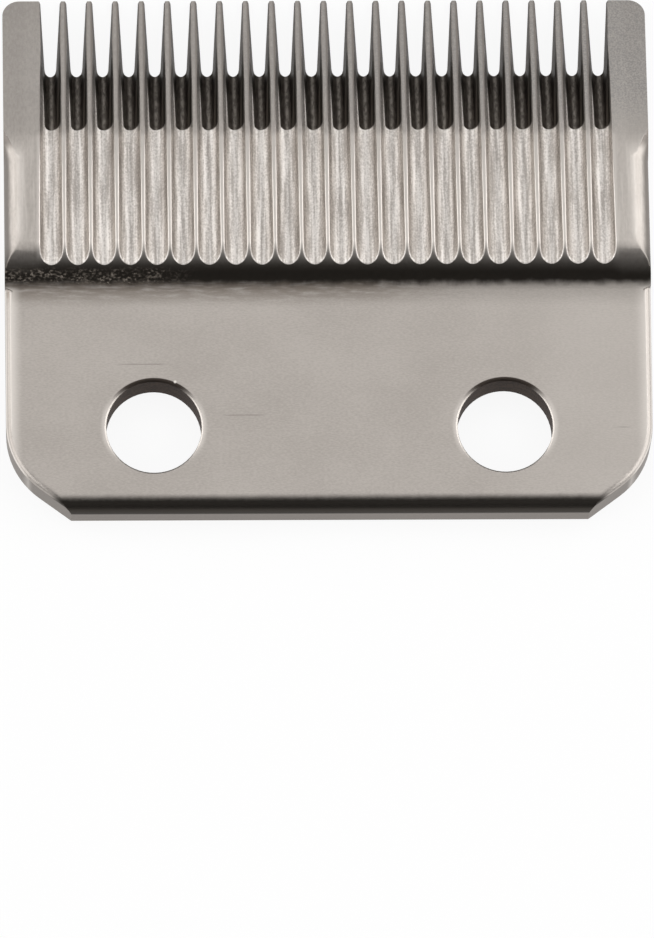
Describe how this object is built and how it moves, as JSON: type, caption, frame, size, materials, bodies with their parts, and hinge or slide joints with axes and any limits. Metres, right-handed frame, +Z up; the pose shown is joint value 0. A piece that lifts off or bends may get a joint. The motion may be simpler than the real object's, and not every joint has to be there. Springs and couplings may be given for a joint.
{
  "type": "hair clipper blade",
  "caption": "Fixed steel blade of a hair clipper: flat plate with screw holes, stepped up to a fluted wedge that ends in a comb of tapered cutting teeth between plain ears.",
  "frame": {"origin": "midway between the two screw holes, on the flat cutting face that the blade lies on", "axes": "+X across the blade, +Y from the screw holes towards the tooth tips, +Z up out of the skin side, along the screw holes"},
  "size_m": [0.047, 0.0398, 0.0041],
  "materials": {
    "blade_steel": "satin ground and tumbled, with streaked flutes and dark as-cut slots and step"
  },
  "bodies": {
    "root": {"fixed_blade": "blade_steel"}
  },
  "joints": []
}
